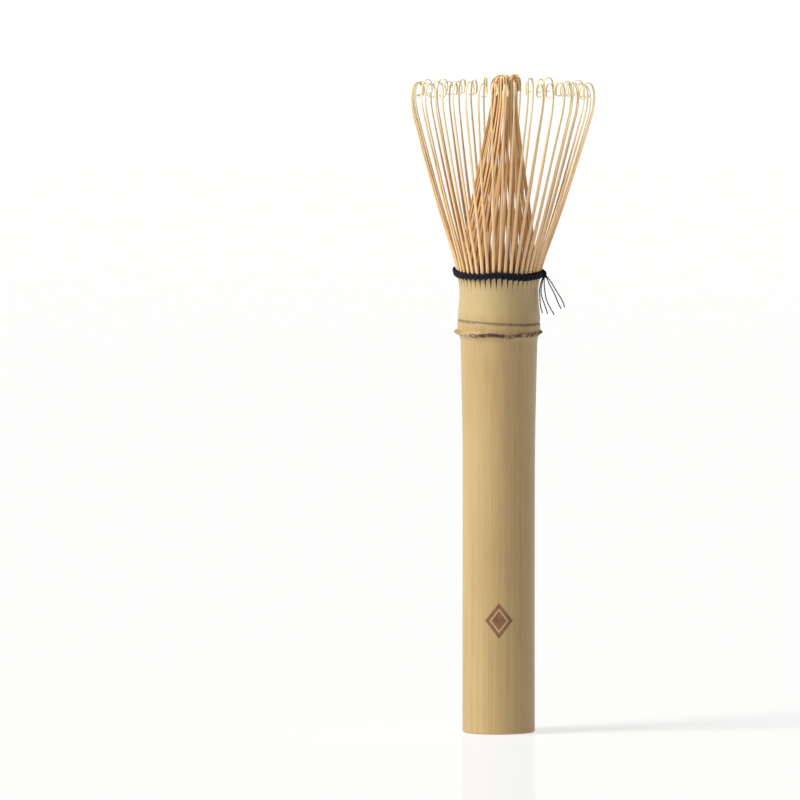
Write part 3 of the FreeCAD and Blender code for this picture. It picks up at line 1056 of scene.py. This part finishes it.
def knot_centre():
    """Where the thread is tied off, on the outside of the band."""
    z = band_height(KNOT_AZIMUTH)
    outer_r = stub_faces(z, ROOT_R, OUTER_LEAN, OUTER_ROOT_THICK)[1]
    return polar(outer_r + KNOT_STAND_OFF, KNOT_AZIMUTH, z)


def make_thread():
    """The woven band with its knot."""
    points, faces = [], []
    for offset, slant in ((-ROW_OFFSET, 1), (ROW_OFFSET, -1)):
        plies(woven_row(offset, slant), STRAND_R, PLY_TURN, points, faces, closed=True)
    centre = knot_centre()
    facing = Matrix.Rotation(math.radians(KNOT_AZIMUTH), 3, "Z")
    for loop in range(KNOT_LOOPS):
        turn = 180 / KNOT_LOOPS * loop + KNOT_TURN
        tilt = Matrix.Rotation(math.radians(turn), 3, polar(1, KNOT_AZIMUTH, 0))
        path = []
        for k in range(KNOT_STEPS):
            a = 2 * math.pi * k / KNOT_STEPS
            x = KNOT_DEEP * math.sin(2 * a)
            oval = Vector((x, KNOT_HALF_WIDE * math.cos(a), KNOT_HALF_HIGH * math.sin(a)))
            path.append(centre + tilt @ (facing @ oval))
        plies(path, KNOT_STRAND_R, KNOT_PLY_TURN, points, faces, closed=True)
    piece = make_piece("woven_thread", points, faces, None, 60)
    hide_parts("binding_thread")
    return piece


def make_tails():
    """The thread's loose ends, which fray out of the knot and hang."""
    points, faces = [], []
    centre = knot_centre()
    facing = Matrix.Rotation(math.radians(KNOT_AZIMUTH), 3, "Z")
    for number, (out, sideways, up, bow) in enumerate(TAIL_ENDS):
        path = []
        for k in range(TAIL_STEPS + 1):
            share = k / TAIL_STEPS
            wiggle = TAIL_WIGGLE * math.sin(share * 10 + 2.1 * number) * share
            x = out * share**0.9 + bow * math.sin(math.pi * share) + wiggle
            y = sideways * share + 0.5 * bow * math.sin(math.pi * share)
            path.append(centre + facing @ Vector((x, y, up * share**1.08)))
        plies(path, TAIL_STRAND_R, TAIL_PLY_TURN, points, faces)
    piece = make_piece("thread_ends", points, faces, None, 60)
    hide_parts("thread_tails")
    return piece


# ---------------------------------------------------------------- floor, light and camera


def make_floor():
    """A plain white floor, lit from within like a light table, with a faint reflection."""
    material, shader = new_material("floor")
    tree = material.node_tree
    shader.inputs["Base Color"].default_value = (0.28, 0.28, 0.28, 1)
    shader.inputs["Roughness"].default_value = 1.0
    shader.inputs["Specular IOR Level"].default_value = 0.0
    shader.inputs["Emission Color"].default_value = (1, 1, 1, 1)
    shader.inputs["Emission Strength"].default_value = 0.76
    gloss = node(tree, "ShaderNodeBsdfGlossy", {"Roughness": 0.12})
    both = node(tree, "ShaderNodeMixShader", {0: 0.12, 1: shader.outputs[0], 2: gloss.outputs[0]})
    tree.links.new(both.outputs[0], tree.nodes["Material Output"].inputs["Surface"])
    bpy.ops.mesh.primitive_plane_add(size=FLOOR_WIDE, location=(0, 0, -FLOOR_GAP))
    floor = bpy.context.object
    floor.name = "floor"
    floor.data.materials.append(material)


def make_wall():
    """A low white wall all round, which the floor reflects. It keeps no light off the floor."""
    material, shader = new_material("wall")
    shader.inputs["Base Color"].default_value = (0, 0, 0, 1)
    shader.inputs["Emission Color"].default_value = (1, 1, 1, 1)
    shader.inputs["Emission Strength"].default_value = 1.0
    bpy.ops.mesh.primitive_cylinder_add(
        vertices=64, radius=WALL_R, depth=WALL_HIGH, end_fill_type="NOTHING", location=(0, 0, WALL_HIGH / 2)
    )
    wall = bpy.context.object
    wall.name = "wall"
    wall.visible_shadow = False
    wall.data.materials.append(material)


def make_world(strength):
    """An even, slightly warm surround."""
    world = bpy.data.worlds.new("surround")
    world.use_nodes = True
    background = world.node_tree.nodes["Background"]
    background.inputs["Color"].default_value = (1.0, 0.93, 0.86, 1)
    background.inputs["Strength"].default_value = strength
    bpy.context.scene.world = world


def sun(name, azimuth, elevation, strength, softness, tint):
    """A distant light from an azimuth and elevation, as soft as the degrees that it spans."""
    data = bpy.data.lights.new(name, "SUN")
    data.energy = strength
    data.angle = math.radians(softness)
    data.color = tint
    light = bpy.data.objects.new(name, data)
    from_there = polar(math.cos(math.radians(elevation)), azimuth, math.sin(math.radians(elevation)))
    light.rotation_euler = (-from_there).to_track_quat("-Z", "Y").to_euler()
    bpy.context.scene.collection.objects.link(light)


def make_camera():
    """A long lens far in front, a little above the whisk and a little to its left."""
    high = whisk_high * MM
    target = Vector((CAMERA_ASIDE * high, 0, CAMERA_TARGET * high))
    data = bpy.data.cameras.new("camera")
    camera = bpy.data.objects.new("camera", data)
    camera.location = (CAMERA_ASIDE * high, -CAMERA_AWAY * high, CAMERA_EYE * high)
    reach = (target - camera.location).length
    data.sensor_width = SENSOR_WIDE
    data.lens = SENSOR_WIDE * reach / (VIEW_WIDE * high)
    data.clip_end = 100
    camera.rotation_euler = (target - camera.location).to_track_quat("-Z", "Y").to_euler()
    bpy.context.scene.collection.objects.link(camera)
    bpy.context.scene.camera = camera


# ---------------------------------------------------------------- the whole scene

OUTER_BAMBOO = tine_material(
    "outer_tine_bamboo",
    [
        (0.0, colour(230, 192, 144)),
        (0.25, colour(232, 194, 146)),
        (0.55, colour(235, 203, 157)),
        (0.80, colour(242, 225, 182)),
        (1.0, colour(246, 235, 196)),
    ],
    colour(184, 138, 92),
    colour(250, 228, 188),
)
INNER_BAMBOO = tine_material(
    "inner_tine_bamboo",
    [
        # Painted shade: the inner tines darken towards their roots, where the outer tines and the thread
        # shade them
        (0.0, colour(138, 88, 54)),
        (0.08, colour(196, 143, 92)),
        (0.3, colour(222, 172, 118)),
        (0.8, colour(233, 192, 140)),
        (1.0, colour(243, 219, 174)),
    ],
    colour(160, 108, 66),
    colour(244, 208, 156),
)

make_camera()
culm = make_culm()
culm.data.materials.append(skin_material())
culm.data.materials.append(cut_material())
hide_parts("culm_handle")
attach(culm, "root")

cotton = thread_material()
for piece in (make_thread(), make_tails()):
    piece.data.materials.append(cotton)
    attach(piece, "root")

for index in range(TINE_COUNT):
    make_outer_tine(index)
for index, inner_name in enumerate(INNER_NODES):
    make_inner_tines(inner_name, index * INNER_PER_NODE)

make_floor()
make_wall()
make_world(strength=0.12)
sun("key", azimuth=FRONT - 66, elevation=38, strength=4.0, softness=30, tint=(0.97, 1.0, 0.95))
bpy.context.scene.view_settings.view_transform = "Standard"
